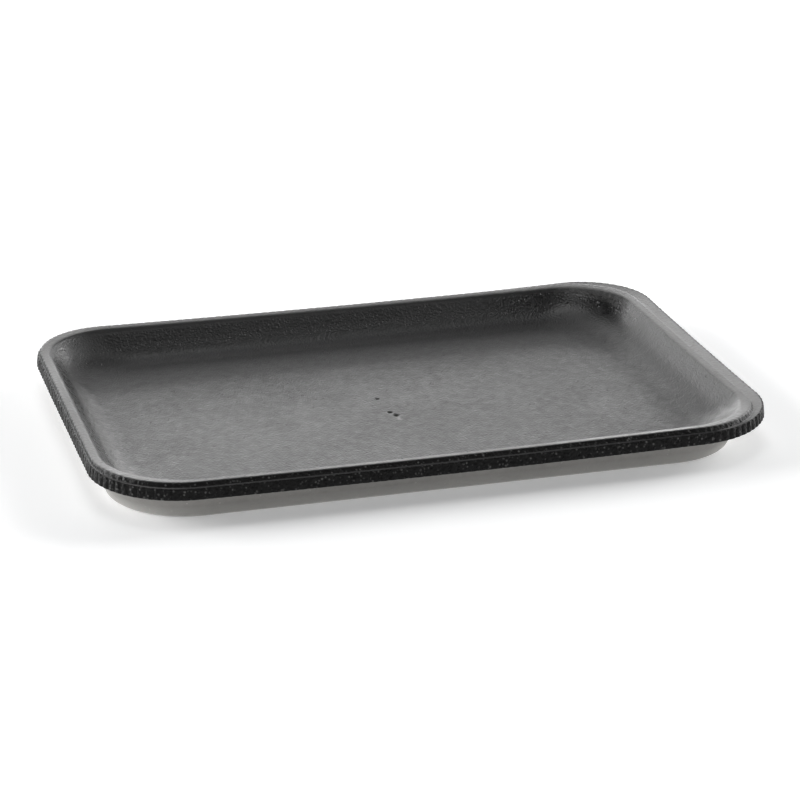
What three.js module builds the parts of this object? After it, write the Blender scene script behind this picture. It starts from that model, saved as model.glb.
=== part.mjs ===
// Shallow rounded-rectangle foam tray, moulded in one piece, with a stepped and reeded rim.
// Units are millimetres, +Z up, origin at the centre of the outline at the height of the base.
import * as THREE from 'three';

// ---- driving dimensions -------------------------------------------------
const LENGTH = 210.0;            // over the trimmed edge, along X
const WIDTH = 146.0;             // over the trimmed edge, along Y
const HEIGHT = 12.7;             // base to the top of the rim, at the middle of the long sides
const FLOOR_TOP = 3.6;           // foam thickness at the floor
const STEP_DROP = 1.3;           // upper tier of the rim down to the lower tier
const LIP_UNDER = 8.05;          // underside of the lower tier at the trimmed edge
const TRIM_RADII = [29.0, 24.5, 27.0, 27.5];   // corners: front right, rear right, rear left, front left

// the moulded tray sits off-centre inside the trimmed edge
const TRAY_CX = -2.2, TRAY_CY = -0.5;
const TRAY_A = 101.5, TRAY_B = 70.0;           // half size of the upper tier's outer edge
const TRAY_RADII = [22.5, 22.5, 23.0, 26.5];
const FLOOR_RADII = [19.5, 19.5, 19.5, 20.5];  // where the floor meets its fillet
const BASE_RADII = [23.5, 23.5, 23.5, 24.0];
const FLOOR_OFFSET = 16.7;       // upper tier's edge in to the flat of the floor
const BASE_OFFSET = 6.3;         // upper tier's edge in to the flat of the base
const FILLET_R = 14.0;           // floor to wall, inside
const WALL_ANGLE = 50.0;         // inner wall above the floor, degrees

// foot of the step, on the lower tier
const FOOT_CX = -2.025, FOOT_CY = -0.75;
const FOOT_A = 101.925, FOOT_B = 70.85;
const FOOT_RADII = [23.2, 23.2, 23.8, 27.0];

// reeded trimmed edge
const RIB_COUNT = 250;
const RIB_DEPTH = 0.38;
const RIB_SHOULDER = 0.09;       // fall of the rib a quarter pitch from its crest
const LIP_FLARE = 0.3;           // the edge stands out this much further at its foot

// the rim rises a little toward the ends and corners
const END_RISE = 0.4, CORNER_RISE = 0.4;
const EDGE_CURL = 0.5;           // and the trimmed edge curls up this much more at the rear right corner

const SEG_ARC = 14, SEG_LONG = 10, SEG_SHORT = 7;

// ---- outlines -----------------------------------------------------------
// A rounded rectangle as eight curves, anticlockwise from the left end of the front side.
function outline(cx, cy, a, b, radii) {
  const [fr, rr, rl, fl] = radii;
  const V = (x, y) => new THREE.Vector2(cx + x, cy + y);
  const arc = (x, y, r, start) =>
    new THREE.EllipseCurve(cx + x, cy + y, r, r, start, start + Math.PI / 2, false, 0);
  return [
    new THREE.LineCurve(V(-a + fl, -b), V(a - fr, -b)),
    arc(a - fr, -b + fr, fr, -Math.PI / 2),
    new THREE.LineCurve(V(a, -b + fr), V(a, b - rr)),
    arc(a - rr, b - rr, rr, 0),
    new THREE.LineCurve(V(a - rr, b), V(-a + rl, b)),
    arc(-a + rl, b - rl, rl, Math.PI / 2),
    new THREE.LineCurve(V(-a, b - rl), V(-a, -b + fl)),
    arc(-a + fl, -b + fl, fl, Math.PI),
  ];
}

function rise(x, y, share) {
  const u = x / 100, v = y / 70;
  return share * (END_RISE * u * u + CORNER_RISE * u * u * v * v);
}

function curl(x, y) {
  const u = Math.max(0, x / 95), v = Math.max(0, y / 65);
  return EDGE_CURL * Math.min(1, u * u * v * v);
}

function ring(curves, z, share) {
  const points = [];
  curves.forEach((curve, i) => {
    const n = i % 2 ? SEG_ARC : (i % 4 === 0 ? SEG_LONG : SEG_SHORT);
    for (let k = 0; k < n; k++) {
      const p = curve.getPoint(k / n);
      points.push(new THREE.Vector3(p.x, p.y, z + rise(p.x, p.y, share)));
    }
  });
  return points;
}

// A ring of rounded ribs: four points a rib, evenly spaced along the trimmed edge.
function ribbedRing(inset, z, share) {
  const a = LENGTH / 2 - inset, b = WIDTH / 2 - inset;
  const radii = TRIM_RADII.map((r) => r - inset);
  const crest = outline(0, 0, a, b, radii);
  const fall = [RIB_DEPTH, RIB_SHOULDER, 0, RIB_SHOULDER];
  const inner = fall.map((d) => outline(0, 0, a - d, b - d, radii.map((r) => r - d)));
  const lengths = crest.map((c) => c.getLength());
  const total = lengths.reduce((s, l) => s + l, 0);
  const points = [];
  const n = RIB_COUNT * 4;
  for (let k = 0; k < n; k++) {
    let s = (k / n) * total, i = 0;
    while (i < 7 && s >= lengths[i]) s -= lengths[i++];
    const p = inner[k % 4][i].getPoint(s / lengths[i]);
    points.push(new THREE.Vector3(p.x, p.y, z + rise(p.x, p.y, share) + curl(p.x, p.y)));
  }
  return points;
}

// ---- section, from the floor out over the rim and back under to the base --
const lerp = (p, q, t) => p.map((v, i) => v + (q[i] - v) * t);
const trayRing = (offset, z, share, lower = FLOOR_RADII, span = FLOOR_OFFSET) =>
  ring(outline(TRAY_CX, TRAY_CY, TRAY_A - offset, TRAY_B - offset,
    lerp(TRAY_RADII, lower, Math.min(1, offset / span))), z, share);

const upper = [];
const wallFoot = { offset: 0, z: 0 };
for (let k = 0; k <= 5; k++) {
  const phi = THREE.MathUtils.degToRad((WALL_ANGLE * k) / 5);
  wallFoot.offset = FLOOR_OFFSET - FILLET_R * Math.sin(phi);
  wallFoot.z = FLOOR_TOP + FILLET_R * (1 - Math.cos(phi));
  upper.push(trayRing(wallFoot.offset, wallFoot.z, k / 5));
}
const CREST_START = HEIGHT - 0.7;
const crestOffset = wallFoot.offset
  - (CREST_START - wallFoot.z) / Math.tan(THREE.MathUtils.degToRad(WALL_ANGLE));
upper.push(trayRing(crestOffset, CREST_START, 1));
upper.push(trayRing(crestOffset - 0.4, HEIGHT - 0.38, 1));
upper.push(trayRing(crestOffset - 0.95, HEIGHT - 0.2, 1));
upper.push(trayRing(0.45, HEIGHT, 1));
upper.push(trayRing(0.1, HEIGHT - 0.12, 1));
upper.push(trayRing(0, HEIGHT - 0.35, 1));
upper.push(ring(outline(FOOT_CX, FOOT_CY, FOOT_A, FOOT_B, FOOT_RADII), HEIGHT - STEP_DROP, 1));

const edge = [
  ribbedRing(LIP_FLARE, HEIGHT - STEP_DROP - 0.05, 1),
  ribbedRing(0, LIP_UNDER, 1),
];

const under = [
  trayRing(1.2, LIP_UNDER + 0.45, 1, BASE_RADII, BASE_OFFSET),
  trayRing(1.9, LIP_UNDER + 0.2, 0.95, BASE_RADII, BASE_OFFSET),
  trayRing(2.3, LIP_UNDER - 0.6, 0.85, BASE_RADII, BASE_OFFSET),
  trayRing(4.6, 1.6, 0, BASE_RADII, BASE_OFFSET),
  trayRing(4.85, 0.8, 0, BASE_RADII, BASE_OFFSET),
  trayRing(5.4, 0.22, 0, BASE_RADII, BASE_OFFSET),
  trayRing(BASE_OFFSET, 0, 0, BASE_RADII, BASE_OFFSET),
];

// ---- skin ---------------------------------------------------------------
const vertices = [];
const faces = [];
const addRing = (points) => {
  const first = vertices.length;
  vertices.push(...points);
  return points.map((_, i) => first + i);
};

function band(p, q) {
  for (let j = 0; j < p.length; j++) {
    const k = (j + 1) % p.length;
    faces.push([p[j], q[j], q[k]], [p[j], q[k], p[k]]);
  }
}

// Joins two rings of different counts in order of their angle about the centre.
function zip(p, q) {
  const turn = (list) => {
    const angles = list.map((i) => Math.atan2(vertices[i].y, vertices[i].x));
    let start = 0;
    for (let i = 1; i < angles.length; i++) if (angles[i] < angles[start]) start = i;
    const order = list.map((_, i) => list[(start + i) % list.length]);
    const sorted = angles.map((_, i) => angles[(start + i) % list.length]);
    return { order: [...order, order[0]], angle: [...sorted, sorted[0] + 2 * Math.PI] };
  };
  const a = turn(p), b = turn(q);
  let i = 0, j = 0;
  while (i < p.length || j < q.length) {
    const next = j >= q.length || (i < p.length && a.angle[i + 1] < b.angle[j + 1]);
    if (next) {
      faces.push([a.order[i], b.order[j], a.order[i + 1]]);
      i++;
    } else {
      faces.push([a.order[i], b.order[j], b.order[j + 1]]);
      j++;
    }
  }
}

function cap(loop, facesUp) {
  const flat = loop.map((i) => new THREE.Vector2(vertices[i].x, vertices[i].y));
  for (const [a, b, c] of THREE.ShapeUtils.triangulateShape(flat, [])) {
    const area = new THREE.Vector2().subVectors(flat[b], flat[a])
      .cross(new THREE.Vector2().subVectors(flat[c], flat[a]));
    const ccw = area > 0;
    faces.push(ccw === facesUp ? [loop[a], loop[b], loop[c]] : [loop[a], loop[c], loop[b]]);
  }
}

const upperRings = upper.map(addRing);
const edgeRings = edge.map(addRing);
const underRings = under.map(addRing);
cap(upperRings[0], true);
for (let i = 1; i < upperRings.length; i++) band(upperRings[i - 1], upperRings[i]);
zip(upperRings[upperRings.length - 1], edgeRings[0]);
band(edgeRings[0], edgeRings[1]);
zip(edgeRings[1], underRings[0]);
for (let i = 1; i < underRings.length; i++) band(underRings[i - 1], underRings[i]);
cap(underRings[underRings.length - 1], false);

const geometry = new THREE.BufferGeometry();
geometry.setAttribute('position',
  new THREE.Float32BufferAttribute(vertices.flatMap((v) => [v.x, v.y, v.z]), 3));
geometry.setIndex(faces.flat());
geometry.computeVertexNormals();

// ---- model --------------------------------------------------------------
const tray = new THREE.Mesh(geometry, new THREE.MeshStandardMaterial({
  color: 0x1d1d1d,
  roughness: 0.42,
  metalness: 0.0,
}));
tray.name = 'foam_tray';

const group = new THREE.Group();
group.add(tray);

export default group;
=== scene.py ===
import math
import bpy
import numpy as np
from mathutils import Matrix, Vector


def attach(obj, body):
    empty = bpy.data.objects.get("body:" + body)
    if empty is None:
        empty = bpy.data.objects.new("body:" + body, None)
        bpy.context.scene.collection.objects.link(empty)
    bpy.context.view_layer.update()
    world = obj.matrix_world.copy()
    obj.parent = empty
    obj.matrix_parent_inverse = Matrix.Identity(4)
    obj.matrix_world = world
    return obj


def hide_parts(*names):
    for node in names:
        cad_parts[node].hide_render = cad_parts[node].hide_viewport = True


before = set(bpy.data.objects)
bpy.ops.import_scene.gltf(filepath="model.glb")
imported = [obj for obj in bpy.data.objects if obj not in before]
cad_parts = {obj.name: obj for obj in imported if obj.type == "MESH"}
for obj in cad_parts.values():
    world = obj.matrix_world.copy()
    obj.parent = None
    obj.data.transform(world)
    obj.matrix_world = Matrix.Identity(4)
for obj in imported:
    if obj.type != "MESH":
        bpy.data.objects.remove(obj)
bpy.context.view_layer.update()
RNG = np.random.default_rng(41)

# ------------------------------------------------------------------ camera
# Same direction, distance and framing as the photograph.
AZ, EL, DIST = math.radians(-15.95), math.radians(20.89), 0.8661
SHIFT_RIGHT, SHIFT_UP = 0.002310, 0.003803
back = Vector((math.sin(AZ) * math.cos(EL), -math.cos(AZ) * math.cos(EL), math.sin(EL)))
right = Vector((math.cos(AZ), math.sin(AZ), 0.0))
up = back.cross(right)
cam_data = bpy.data.cameras.new("camera")
cam_data.sensor_width = 36.0
cam_data.lens = 2742.0 / 800.0 * 36.0
cam_data.clip_start = 0.05
cam_data.clip_end = 20.0
cam = bpy.data.objects.new("camera", cam_data)
bpy.context.collection.objects.link(cam)
place = back * DIST + right * SHIFT_RIGHT + up * SHIFT_UP
cam.matrix_world = Matrix((
    (right.x, up.x, back.x, place.x),
    (right.y, up.y, back.y, place.y),
    (right.z, up.z, back.z, place.z),
    (0.0, 0.0, 0.0, 1.0)))
bpy.context.scene.camera = cam

# -------------------------------------------------------------- dimensions
# Millimetres here; the mesh is scaled to metres when it is made.
LENGTH, WIDTH, HEIGHT = 210.0, 146.0, 12.7
FLOOR_TOP, STEP_DROP, LIP_UNDER = 3.6, 1.3, 8.05
TRIM_RADII = (29.0, 24.5, 27.0, 27.5)
TRAY_C = (-2.2, -0.5)
TRAY_A, TRAY_B = 101.5, 70.0
TRAY_RADII = (22.5, 22.5, 23.0, 26.5)
FLOOR_RADII = (19.5, 19.5, 19.5, 20.5)
BASE_RADII = (23.5, 23.5, 23.5, 24.0)
FLOOR_OFFSET, BASE_OFFSET = 16.7, 6.3
FILLET_R, WALL_ANGLE = 14.0, math.radians(50.0)
FOOT_C = (-2.025, -0.75)
FOOT_A, FOOT_B = 101.925, 70.85
FOOT_RADII = (23.2, 23.2, 23.8, 27.0)
RIBS, RIB_DEPTH, LIP_FLARE = 250, 0.38, 0.3
END_RISE, CORNER_RISE, EDGE_CURL = 0.4, 0.4, 0.5

PER_RIB = 8
N_FINE = RIBS * PER_RIB
STEP = 4
FINE = np.arange(N_FINE)

# Every ring is sampled at the same places along the eight sides and corners.
def seg_lengths(a, b, radii):
    fr, rr, rl, fl = radii
    q = math.pi / 2
    return np.array([2 * a - fl - fr, q * fr, 2 * b - fr - rr, q * rr,
                     2 * a - rr - rl, q * rl, 2 * b - rl - fl, q * fl])


lens = seg_lengths(LENGTH / 2, WIDTH / 2, TRIM_RADII)
ends = np.cumsum(lens)
along = FINE / N_FINE * ends[-1]
SEG = np.searchsorted(ends, along, side="right")
TT = (along - np.concatenate([[0], ends])[SEG]) / lens[SEG]


def outline(c, a, b, radii, idx=None):
    seg, t = (SEG, TT) if idx is None else (SEG[idx], TT[idx])
    fr, rr, rl, fl = radii
    x, y = np.zeros(len(seg)), np.zeros(len(seg))
    lines = {0: ((-a + fl, -b), (a - fr, -b)), 2: ((a, -b + fr), (a, b - rr)),
             4: ((a - rr, b), (-a + rl, b)), 6: ((-a, b - rl), (-a, -b + fl))}
    arcs = {1: (a - fr, -b + fr, fr, -90), 3: (a - rr, b - rr, rr, 0),
            5: (-a + rl, b - rl, rl, 90), 7: (-a + fl, -b + fl, fl, 180)}
    for i, (p, q) in lines.items():
        m = seg == i
        x[m], y[m] = p[0] + (q[0] - p[0]) * t[m], p[1] + (q[1] - p[1]) * t[m]
    for i, (px, py, r, s) in arcs.items():
        m = seg == i
        w = np.radians(s + 90 * t[m])
        x[m], y[m] = px + r * np.cos(w), py + r * np.sin(w)
    return np.c_[x + c[0], y + c[1]]


def mix(p, q, t):
    return tuple(u + (v - u) * t for u, v in zip(p, q))


def tray(offset, idx=None, lower=FLOOR_RADII, span=FLOOR_OFFSET):
    return outline(TRAY_C, TRAY_A - offset, TRAY_B - offset,
                   mix(TRAY_RADII, lower, min(1.0, offset / span)), idx)


def foot(offset, idx=None):
    return outline(FOOT_C, FOOT_A - offset, FOOT_B - offset, tuple(r - offset for r in FOOT_RADII), idx)


def trim(inset, idx=None):
    return outline((0, 0), LENGTH / 2 - inset, WIDTH / 2 - inset, tuple(r - inset for r in TRIM_RADII), idx)


def rise(xy):
    u, v = xy[:, 0] / 100, xy[:, 1] / 70
    return END_RISE * u ** 2 + CORNER_RISE * u ** 2 * v ** 2


def curl(xy):
    u, v = np.maximum(0, xy[:, 0] / 95), np.maximum(0, xy[:, 1] / 65)
    return EDGE_CURL * np.minimum(1, (u * v) ** 2)


# ribs: each a rounded ridge between sharp valleys, a little uneven from one to the next
rib = FINE // PER_RIB
phase = (FINE % PER_RIB) / PER_RIB
depth_of = 1.0 - 0.30 * RNG.random(RIBS)
inset_of = 0.06 * RNG.random(RIBS)
GROOVE = 1.0 - np.sin(np.pi * phase) ** 0.78
DEPTH, SETBACK = depth_of[rib], inset_of[rib]
TIER = (0.55 + 0.45 * RNG.random(RIBS))[rib]
slow = sum(a * np.cos(2 * np.pi * (k * FINE / N_FINE + s))
           for k, a, s in ((3, .5, .1), (7, .4, .63), (11, .3, .3), (19, .3, .85), (31, .25, .42)))
slow = (slow - slow.min()) / (slow.max() - slow.min())

verts, faces, mats = [], [], []


def add(xy, z, share):
    first = sum(len(v) for v in verts)
    zz = np.broadcast_to(np.asarray(z, float), (len(xy),)) + share * rise(xy)
    verts.append(np.c_[xy, zz])
    return np.arange(first, first + len(xy))


def band(p, q, mat=0):
    p2, q2 = np.roll(p, -1), np.roll(q, -1)
    faces.extend(np.c_[p, q, q2, p2].tolist())
    mats.extend([mat] * len(p))


def stitch_out(c, f, mat=0):
    """coarse ring inside, fine ring outside (in section order)"""
    n = len(c)
    for j in range(n):
        a, b = int(c[j]), int(c[(j + 1) % n])
        g = [int(f[(STEP * j + k) % len(f)]) for k in range(STEP + 1)]
        faces.extend([[a, g[0], g[1]], [a, g[1], g[2]], [a, g[2], b], [b, g[2], g[3]], [b, g[3], g[4]]])
        mats.extend([mat] * 5)


def stitch_in(f, c, mat=0):
    """fine ring first, coarse ring after it"""
    n = len(c)
    for j in range(n):
        a, b = int(c[j]), int(c[(j + 1) % n])
        g = [int(f[(STEP * j + k) % len(f)]) for k in range(STEP + 1)]
        faces.extend([[g[0], a, g[1]], [g[1], a, g[2]], [g[2], a, b], [g[2], b, g[3]], [g[3], b, g[4]]])
        mats.extend([mat] * 5)


def radial(xy, inward):
    """moves a fine ring in toward the tray by that much, along its own normal"""
    t = np.roll(xy, -1, 0) - np.roll(xy, 1, 0)
    t /= np.linalg.norm(t, axis=1)[:, None]
    return xy + np.c_[-t[:, 1], t[:, 0]] * np.asarray(inward)[:, None]


IDX = FINE[::STEP]
SKIN, EDGE, OUTER = 0, 1, 2

# floor, with the small pits near its middle: place, radius and depth of each
PITS = ((-3.40, -8.95, 0.95, 0.75), (-2.20, -12.05, 0.95, 0.75), (-4.00, 3.30, 0.75, 0.30))


def pitted(xy):
    z = np.full(len(xy), FLOOR_TOP)
    for px, py, r, d in PITS:
        q = np.hypot(xy[:, 0] - px, xy[:, 1] - py) / r
        z -= d * np.clip(1 - q ** 4, 0, 1)
    return z


centre = np.array([TRAY_C])
flat = tray(FLOOR_OFFSET, IDX)
hub = add(centre.copy(), FLOOR_TOP, 0)
prev = None
close = [np.arange(a, b, 0.0045) for a, b in ((0.053, 0.092), (0.136, 0.181), (0.196, 0.238))]
for s in sorted([0.025, 0.115, 0.3, 0.4, 0.5, 0.6, 0.7, 0.79, 0.87, 0.94] + np.concatenate(close).tolist()):
    xy = centre + (flat - centre) * s
    r = add(xy, pitted(xy), 0)
    if prev is None:
        n = len(r)
        faces.extend([[int(hub[0]), int(r[j]), int(r[(j + 1) % n])] for j in range(n)])
        mats.extend([SKIN] * n)
    else:
        band(prev, r)
    prev = r
# fillet, wall and crest
for k in range(0, 15):
    phi = WALL_ANGLE * k / 14
    r = add(tray(FLOOR_OFFSET - FILLET_R * math.sin(phi), IDX),
            FLOOR_TOP + FILLET_R * (1 - math.cos(phi)), k / 14)
    band(prev, r)
    prev = r
wall_off = FLOOR_OFFSET - FILLET_R * math.sin(WALL_ANGLE)
wall_z = FLOOR_TOP + FILLET_R * (1 - math.cos(WALL_ANGLE))
crest_off = wall_off - (HEIGHT - 0.7 - wall_z) / math.tan(WALL_ANGLE)
for f in (0.25, 0.5, 0.75, 0.93):
    r = add(tray(wall_off + (crest_off - wall_off) * f, IDX), wall_z + (HEIGHT - 0.7 - wall_z) * f, 1)
    band(prev, r)
    prev = r
for d, z in ((0.0, 0.70), (-0.17, 0.515), (-0.36, 0.37), (-0.58, 0.27), (-0.85, 0.205), (-1.15, 0.165)):
    r = add(tray(crest_off + d, IDX), HEIGHT - z, 1)
    band(prev, r)
    prev = r

# upper tier, step, lower tier and reeded edge: fine rings
TRIMG = RIB_DEPTH * GROOVE * DEPTH
UPPERG = 0.7 * GROOVE * TIER


def fine(xy, z, in_rib=0.0, z_rib=0.0, set_back=0.0, groove=TRIMG, up=0.0):
    xy = radial(xy, in_rib * groove + set_back * SETBACK + 0.06 * set_back * slow)
    return add(xy, z - z_rib * groove + up * curl(xy), 1)


up_rings = [
    fine(tray(1.55), HEIGHT - 0.120, 0, 0.00, groove=UPPERG),
    fine(tray(1.15), HEIGHT - 0.070, 0, 0.02, groove=UPPERG),
    fine(tray(0.80), HEIGHT - 0.030, 0, 0.06, groove=UPPERG),
    fine(tray(0.50), HEIGHT - 0.000, 0.04, 0.10, groove=UPPERG),
    fine(tray(0.28), HEIGHT - 0.015, 0.10, 0.12, groove=UPPERG),
    fine(tray(0.12), HEIGHT - 0.090, 0.18, 0.12, groove=UPPERG),
    fine(tray(0.03), HEIGHT - 0.220, 0.24, 0.08, groove=UPPERG),
]
A_, B_ = tray(0.0), foot(0.0)
up_rings += [
    fine(A_ + (B_ - A_) * 0.12, HEIGHT - 0.42, 0.26, groove=UPPERG),
    fine(A_ + (B_ - A_) * 0.38, HEIGHT - 0.70, 0.26, groove=UPPERG),
    fine(A_ + (B_ - A_) * 0.62, HEIGHT - 0.96, 0.26, groove=UPPERG),
    fine(A_ + (B_ - A_) * 0.85, HEIGHT - 1.17, 0.20, groove=UPPERG),
]
C_ = trim(LIP_FLARE + 0.70)
up_rings += [
    fine(B_ + (C_ - B_) * 0.06, HEIGHT - STEP_DROP + 0.03, 0.08, 0.02),
    fine(B_ + (C_ - B_) * 0.35, HEIGHT - STEP_DROP, 0.0, 0.02, up=0.3),
    fine(C_, HEIGHT - STEP_DROP - 0.01, 0.0, 0.03, 0.3, up=0.9),
]
stitch_out(prev, up_rings[0])
for k, (p, q) in enumerate(zip(up_rings, up_rings[1:])):
    band(p, q, EDGE if 6 <= k <= 9 else SKIN)
lip_top = HEIGHT - STEP_DROP
edge_rings = [up_rings[-1],
              fine(trim(LIP_FLARE + 0.32), lip_top - 0.02, 0.25, 0.06, 0.6, up=1),
              fine(trim(LIP_FLARE + 0.16), lip_top - 0.06, 0.80, 0.08, 0.8, up=1),
              fine(trim(LIP_FLARE + 0.05), lip_top - 0.16, 1.1, 0.06, 1.0, up=1),
              fine(trim(LIP_FLARE), lip_top - 0.34, 1.3, 0.0, 1.0, up=1)]
for k in range(1, 5):
    f = k / 4
    edge_rings.append(fine(trim(LIP_FLARE * (1 - f)), (lip_top - 0.34) + (LIP_UNDER + 0.26 - lip_top + 0.34) * f,
                           1.3, 0.0, 1.0, up=1))
edge_rings += [
    fine(trim(0.05), LIP_UNDER + 0.10, 1.15, 0.0, 1.0, up=1),
    fine(trim(0.20), LIP_UNDER + 0.01, 0.6, 0.0, 0.6, up=1),
]
for p, q in zip(edge_rings, edge_rings[1:]):
    band(p, q, EDGE)
last_fine = fine(trim(0.75), LIP_UNDER + 0.02, 0.15, up=1)
band(edge_rings[-1], last_fine, OUTER)

# underside of the lip, outer wall, base
prev = None
for off, z, share in ((1.2, LIP_UNDER + 0.45, 1), (1.6, LIP_UNDER + 0.4, 1), (1.95, LIP_UNDER + 0.15, 0.95), (2.15, LIP_UNDER - 0.2, 0.9),
                      (2.3, LIP_UNDER - 0.6, 0.85), (2.9, 6.05, 0.6), (3.5, 4.32, 0.35), (4.1, 2.85, 0.12),
                      (4.6, 1.6, 0), (4.7, 1.2, 0), (4.85, 0.8, 0), (5.08, 0.47, 0), (5.4, 0.22, 0), (5.8, 0.06, 0), (6.3, 0.0, 0)):
    r = add(tray(off, IDX, BASE_RADII, BASE_OFFSET), z, share)
    if prev is None:
        stitch_in(last_fine, r, OUTER)
    else:
        band(prev, r, OUTER)
    prev = r
base = tray(BASE_OFFSET, IDX, BASE_RADII, BASE_OFFSET)
for s in (0.9, 0.7, 0.45, 0.2):
    r = add(centre + (base - centre) * s, 0.0, 0)
    band(prev, r, OUTER)
    prev = r
hub = add(centre.copy(), 0.0, 0)
n = len(prev)
faces.extend([[int(prev[j]), int(hub[0]), int(prev[(j + 1) % n])] for j in range(n)])
mats.extend([OUTER] * n)

me = bpy.data.meshes.new("tray_foam")
me.from_pydata((np.vstack(verts) * 0.001).tolist(), [], faces)
me.polygons.foreach_set("use_smooth", [True] * len(me.polygons))
me.polygons.foreach_set("material_index", mats)
me.update()
tray_ob = bpy.data.objects.new("tray_foam", me)
bpy.context.collection.objects.link(tray_ob)


# --------------------------------------------------------------- materials
def nodes_of(name):
    m = bpy.data.materials.new(name)
    m.use_nodes = True
    nt = m.node_tree
    return m, nt, nt.nodes["Principled BSDF"]


def foam(name, base, dark, rough, rough_var, cells_scale, cell_bump, peel_bump, speck, painted_foot_light_and_lip_band=False,
         painted_glints=0.0, coarse=0.0, ior=1.55, specular=0.5):
    """Black foamed polystyrene: a closed skin over fine cells, with orange peel and small specks."""
    m, nt, bsdf = nodes_of(name)
    N, L = nt.nodes, nt.links

    def node(kind, **kw):
        n = N.new(kind)
        for k, v in kw.items():
            setattr(n, k, v)
        return n

    co = node("ShaderNodeTexCoord")

    def noise(scale, detail=3.0, rough_=0.55):
        n = node("ShaderNodeTexNoise")
        n.inputs["Scale"].default_value = scale
        n.inputs["Detail"].default_value = detail
        n.inputs["Roughness"].default_value = rough_
        L.new(co.outputs["Object"], n.inputs["Vector"])
        return n.outputs["Fac"]

    def voronoi(scale, feature="F1", rnd=1.0):
        n = node("ShaderNodeTexVoronoi", feature=feature)
        n.inputs["Scale"].default_value = scale
        n.inputs["Randomness"].default_value = rnd
        L.new(co.outputs["Object"], n.inputs["Vector"])
        return n.outputs["Distance"]

    def remap(src, a, b, lo, hi):
        n = node("ShaderNodeMapRange")
        n.inputs["From Min"].default_value = a
        n.inputs["From Max"].default_value = b
        n.inputs["To Min"].default_value = lo
        n.inputs["To Max"].default_value = hi
        L.new(src, n.inputs["Value"])
        return n.outputs["Result"]

    def op(kind, a, b):
        n = node("ShaderNodeMath", operation=kind)
        for s, v in zip(n.inputs, (a, b)):
            if hasattr(v, "is_output"):
                L.new(v, s)
            else:
                s.default_value = v
        return n.outputs[0]

    def blend(fac, a, b):
        n = node("ShaderNodeMixRGB", blend_type="MIX")
        L.new(fac, n.inputs["Fac"])
        L.new(a, n.inputs["Color1"])
        n.inputs["Color2"].default_value = (*b, 1)
        return n.outputs["Color"]

    cloud = noise(28.0, 4.0)
    mottle = noise(420.0, 3.0)
    speck_mask = op("MULTIPLY", remap(voronoi(620.0), 0.12, 0.24, 1.0, 0.0),
                    remap(noise(300.0, 2.0), 0.54, 0.62, 0.0, 1.0))

    ramp = node("ShaderNodeValToRGB")
    ramp.color_ramp.elements[0].color = (*dark, 1)
    ramp.color_ramp.elements[1].color = (*base, 1)
    ramp.color_ramp.elements[0].position = 0.30
    ramp.color_ramp.elements[1].position = 0.70
    L.new(op("ADD", op("MULTIPLY", cloud, 0.5), op("MULTIPLY", mottle, 0.5)), ramp.inputs["Fac"])
    colour = blend(op("MULTIPLY", speck_mask, speck), ramp.outputs["Color"], tuple(2.2 * c for c in base))
    if painted_glints:
        # painted glints: pale spots along the cut stand in for open cells catching the light
        glint_spots = op("MULTIPLY", remap(voronoi(900.0), 0.14, 0.42, 1.0, 0.0),
                   remap(noise(520.0, 2.0), 0.44, 0.62, 0.0, 1.0))
        colour = blend(op("MULTIPLY", glint_spots, painted_glints), colour, (0.10, 0.10, 0.098))
    if painted_foot_light_and_lip_band:
        # painted light: the outer wall is painted paler toward its foot, a painted reflection of the floor runs
        # along the rounded foot, and a paler band is painted just under the lip
        z = node("ShaderNodeSeparateXYZ")
        L.new(co.outputs["Object"], z.inputs["Vector"])
        wander = op("MULTIPLY", mottle, 0.0003)
        height_ = op("ADD", z.outputs["Z"], wander)
        # painted light, paler toward the foot of the wall
        colour = blend(remap(height_, 0.0010, 0.0042, 0.80, 0.0), colour, (0.43, 0.421, 0.404))
        # painted reflection of the floor along the rounded foot
        colour = blend(remap(height_, 0.0008, 0.0011, 0.85, 0.0), colour, (0.52, 0.51, 0.49))
        colour = blend(remap(height_, 0.0074, 0.0079, 0.0, 0.5), colour, (0.42, 0.41, 0.395))
    if coarse:
        # painted sheen: the up-facing flat tops of the rim are painted paler, more so toward the right end, and
        # also at the left end and along the rear, but not at the front
        geo = node("ShaderNodeNewGeometry")
        up = node("ShaderNodeSeparateXYZ")
        L.new(geo.outputs["Normal"], up.inputs["Vector"])
        at = node("ShaderNodeSeparateXYZ")
        L.new(co.outputs["Object"], at.inputs["Vector"])
        right = op("MULTIPLY", remap(up.outputs["Z"], 0.66, 0.92, 0.0, 1.0),
                   remap(at.outputs["X"], -0.060, 0.050, 0.0, 1.0))
        sheen_left_rear = op("MULTIPLY", remap(up.outputs["Z"], 0.88, 0.97, 0.0, 1.0),
                    op("ADD", remap(at.outputs["X"], -0.094, -0.078, 0.85, 0.0),
                       remap(at.outputs["Y"], 0.060, 0.066, 0.0, 0.8)))
        flat = op("MULTIPLY", op("MAXIMUM", right, sheen_left_rear), remap(at.outputs["Z"], 0.0100, 0.0106, 0.0, 1.0))
        flat = op("MULTIPLY", flat, remap(at.outputs["Y"], -0.0714, -0.0706, 0.0, 1.0))
        colour = blend(op("MULTIPLY", flat, remap(mottle, 0.3, 0.7, 0.45, 1.0)), colour, (0.115, 0.114, 0.112))
    L.new(colour, bsdf.inputs["Base Color"])

    r = op("ADD", remap(mottle, 0.3, 0.7, rough - rough_var, rough + rough_var),
           remap(cloud, 0.3, 0.7, -0.03, 0.03))
    r = op("ADD", r, op("MULTIPLY", speck_mask, 0.15))
    if coarse:
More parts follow.
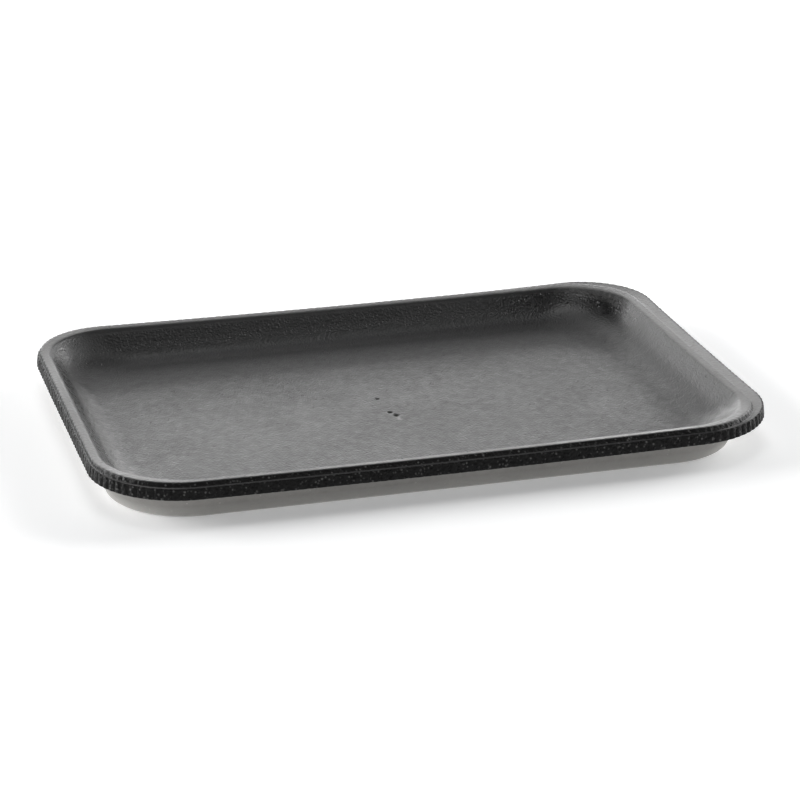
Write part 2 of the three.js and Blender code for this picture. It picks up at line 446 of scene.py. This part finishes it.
        # drawn thin, the walls are rougher than the floor; the pressed crest is smoother
        zz = node("ShaderNodeSeparateXYZ")
        L.new(co.outputs["Object"], zz.inputs["Vector"])
        r = op("ADD", r, op("MULTIPLY", remap(zz.outputs["Z"], 0.0050, 0.0085, 0.0, 0.22),
                            remap(zz.outputs["X"], 0.020, 0.065, 1.0, 0.0)))
        r = op("SUBTRACT", r, op("MULTIPLY", remap(zz.outputs["Z"], 0.0112, 0.0120, 0.0, 0.16),
                                 remap(zz.outputs["X"], 0.020, 0.065, 1.0, 0.0)))
        # glossier skin on the left wall and in the rear right corner
        wall = op("MULTIPLY", remap(zz.outputs["Z"], 0.0055, 0.0085, 0.0, 1.0),
                  remap(zz.outputs["Z"], 0.0114, 0.0119, 1.0, 0.0))
        r = op("SUBTRACT", r, op("MULTIPLY", wall, remap(zz.outputs["X"], -0.0955, -0.0915, 0.33, 0.0)))
        r = op("SUBTRACT", r, op("MULTIPLY", wall, op("MULTIPLY", remap(zz.outputs["X"], 0.045, 0.062, 0.0, 0.11),
                                                      remap(zz.outputs["Y"], 0.028, 0.045, 0.0, 1.0))))
    L.new(r, bsdf.inputs["Roughness"])
    bsdf.inputs["IOR"].default_value = ior
    bsdf.inputs["Specular IOR Level"].default_value = specular

    height = op("ADD", op("MULTIPLY", voronoi(cells_scale), cell_bump), op("MULTIPLY", noise(900.0, 2.0), peel_bump * 1.6))
    height = op("ADD", height, op("MULTIPLY", noise(260.0, 2.0), peel_bump * 0.6))
    height = op("SUBTRACT", height, op("MULTIPLY", speck_mask, cell_bump * 1.8))
    if coarse:
        # the foam is drawn thinner over the rear wall and its skin is rougher there
        p = node("ShaderNodeSeparateXYZ")
        L.new(co.outputs["Object"], p.inputs["Vector"])
        where = op("MULTIPLY", remap(p.outputs["Z"], 0.0046, 0.0070, 0.0, 1.0),
                   remap(p.outputs["Y"], 0.040, 0.052, 0.0, 1.0))
        where = op("MULTIPLY", where, remap(p.outputs["X"], -0.030, 0.060, 1.0, 0.6))
        where = op("MULTIPLY", where, remap(p.outputs["X"], -0.086, -0.076, 0.0, 1.0))
        where = op("MULTIPLY", where, remap(p.outputs["X"], 0.066, 0.076, 1.0, 0.0))
        where = op("MULTIPLY", where, remap(p.outputs["Z"], 0.0112, 0.0118, 1.0, 0.0))
        height = op("ADD", height, op("MULTIPLY", op("MULTIPLY", voronoi(1350.0), where), coarse))
    bump = node("ShaderNodeBump")
    bump.inputs["Strength"].default_value = 1.0
    bump.inputs["Distance"].default_value = 0.0001
    L.new(height, bump.inputs["Height"])
    L.new(bump.outputs["Normal"], bsdf.inputs["Normal"])
    return m


# the skin's coarse setting also turns on the painted sheen on the rim tops
skin = foam("foam_skin", (0.009, 0.009, 0.009), (0.006, 0.006, 0.0062), 0.38, 0.06, 1500.0, 0.75, 0.32, 0.5,
            coarse=3.6)
edge = foam("foam_trimmed_edge", (0.0035, 0.0035, 0.0034), (0.0012, 0.0012, 0.0012), 0.46, 0.10, 1100.0, 2.6, 1.1,
            0.9, painted_glints=0.9, specular=0.15)
outer = foam("foam_outer_skin", (0.29, 0.282, 0.268), (0.22, 0.215, 0.204), 0.50, 0.04, 1500.0, 0.50, 0.45, 0.3,
             painted_foot_light_and_lip_band=True)
for m in (skin, edge, outer):
    me.materials.append(m)

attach(tray_ob, "root")
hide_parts("foam_tray")

# ------------------------------------------------------- floor and lights
bpy.ops.mesh.primitive_plane_add(size=6.0, location=(0, 0, -0.0001))
table = bpy.context.object
table.name = "studio_floor"
mt, nt, b = nodes_of("studio_floor")
b.inputs["Base Color"].default_value = (0.93, 0.93, 0.93, 1)
b.inputs["Roughness"].default_value = 0.9
b.inputs["Specular IOR Level"].default_value = 0.0
b.inputs["Emission Color"].default_value = (0.97, 0.985, 1.0, 1)
b.inputs["Emission Strength"].default_value = 0.22
table.data.materials.append(mt)


def area(name, loc, target, sx, sy, radiance):
    d = bpy.data.lights.new(name, "AREA")
    d.shape = "RECTANGLE"
    d.size, d.size_y = sx, sy
    d.energy = radiance * math.pi * sx * sy
    o = bpy.data.objects.new(name, d)
    bpy.context.collection.objects.link(o)
    o.location = loc
    o.rotation_euler = (Vector(target) - Vector(loc)).to_track_quat("-Z", "Y").to_euler()
    o.visible_camera = False
    return o


# a wall of soft panels round the back and sides, and a faint one behind the camera:
# bearing from the back, elevation and brightness of each
PANELS = (
    (-80, 8, 5.0), (-60, 8, 5.0), (-40, 8, 4.4), (-20, 8, 3.2), (0, 8, 4.8), (20, 8, 4.1), (40, 8, 1.0),
    (60, 8, 4.2), (80, 8, 8.0),
    (-80, 24, 12.6), (-60, 24, 9.6), (-40, 24, 1.6), (-20, 24, 0.6), (0, 24, 1.3), (20, 24, 1.1), (40, 24, 0.9),
    (60, 24, 5.6), (80, 24, 15.0),
    (0, 40, 1.4), (20, 40, 0.7), (0, 58, 1.4), (180, 8, 2.6),
)
FAR = 2.5
for az, el, radiance in PANELS:
    ca, sa, ce, se = (f(math.radians(v)) for v in (az, el) for f in (math.cos, math.sin))
    area("panel_%d_%d" % (az, el), (FAR * sa * ce, FAR * ca * ce, FAR * se), (0, 0, 0),
         2 * FAR * math.tan(math.radians(10)) * ce, 2 * FAR * math.tan(math.radians(8)), radiance)
for az, radiance in ((170, 0.9), (-130, 0.3)):
    ca, sa = math.cos(math.radians(az)), math.sin(math.radians(az))
    area("fill_%d" % az, (FAR * sa * 0.707, FAR * ca * 0.707, FAR * 0.707), (0, 0, 0), 1.34, 1.34, radiance)
area("overhead", (0.0, 0.2, FAR), (0, 0, 0), 1.34, 1.34, 2.1)

world = bpy.data.worlds.new("studio")
bpy.context.scene.world = world
world.use_nodes = True
world.node_tree.nodes["Background"].inputs["Color"].default_value = (1, 1, 1, 1)
world.node_tree.nodes["Background"].inputs["Strength"].default_value = 0.0

sc = bpy.context.scene
sc.view_settings.view_transform = "Standard"
sc.view_settings.look = "None"
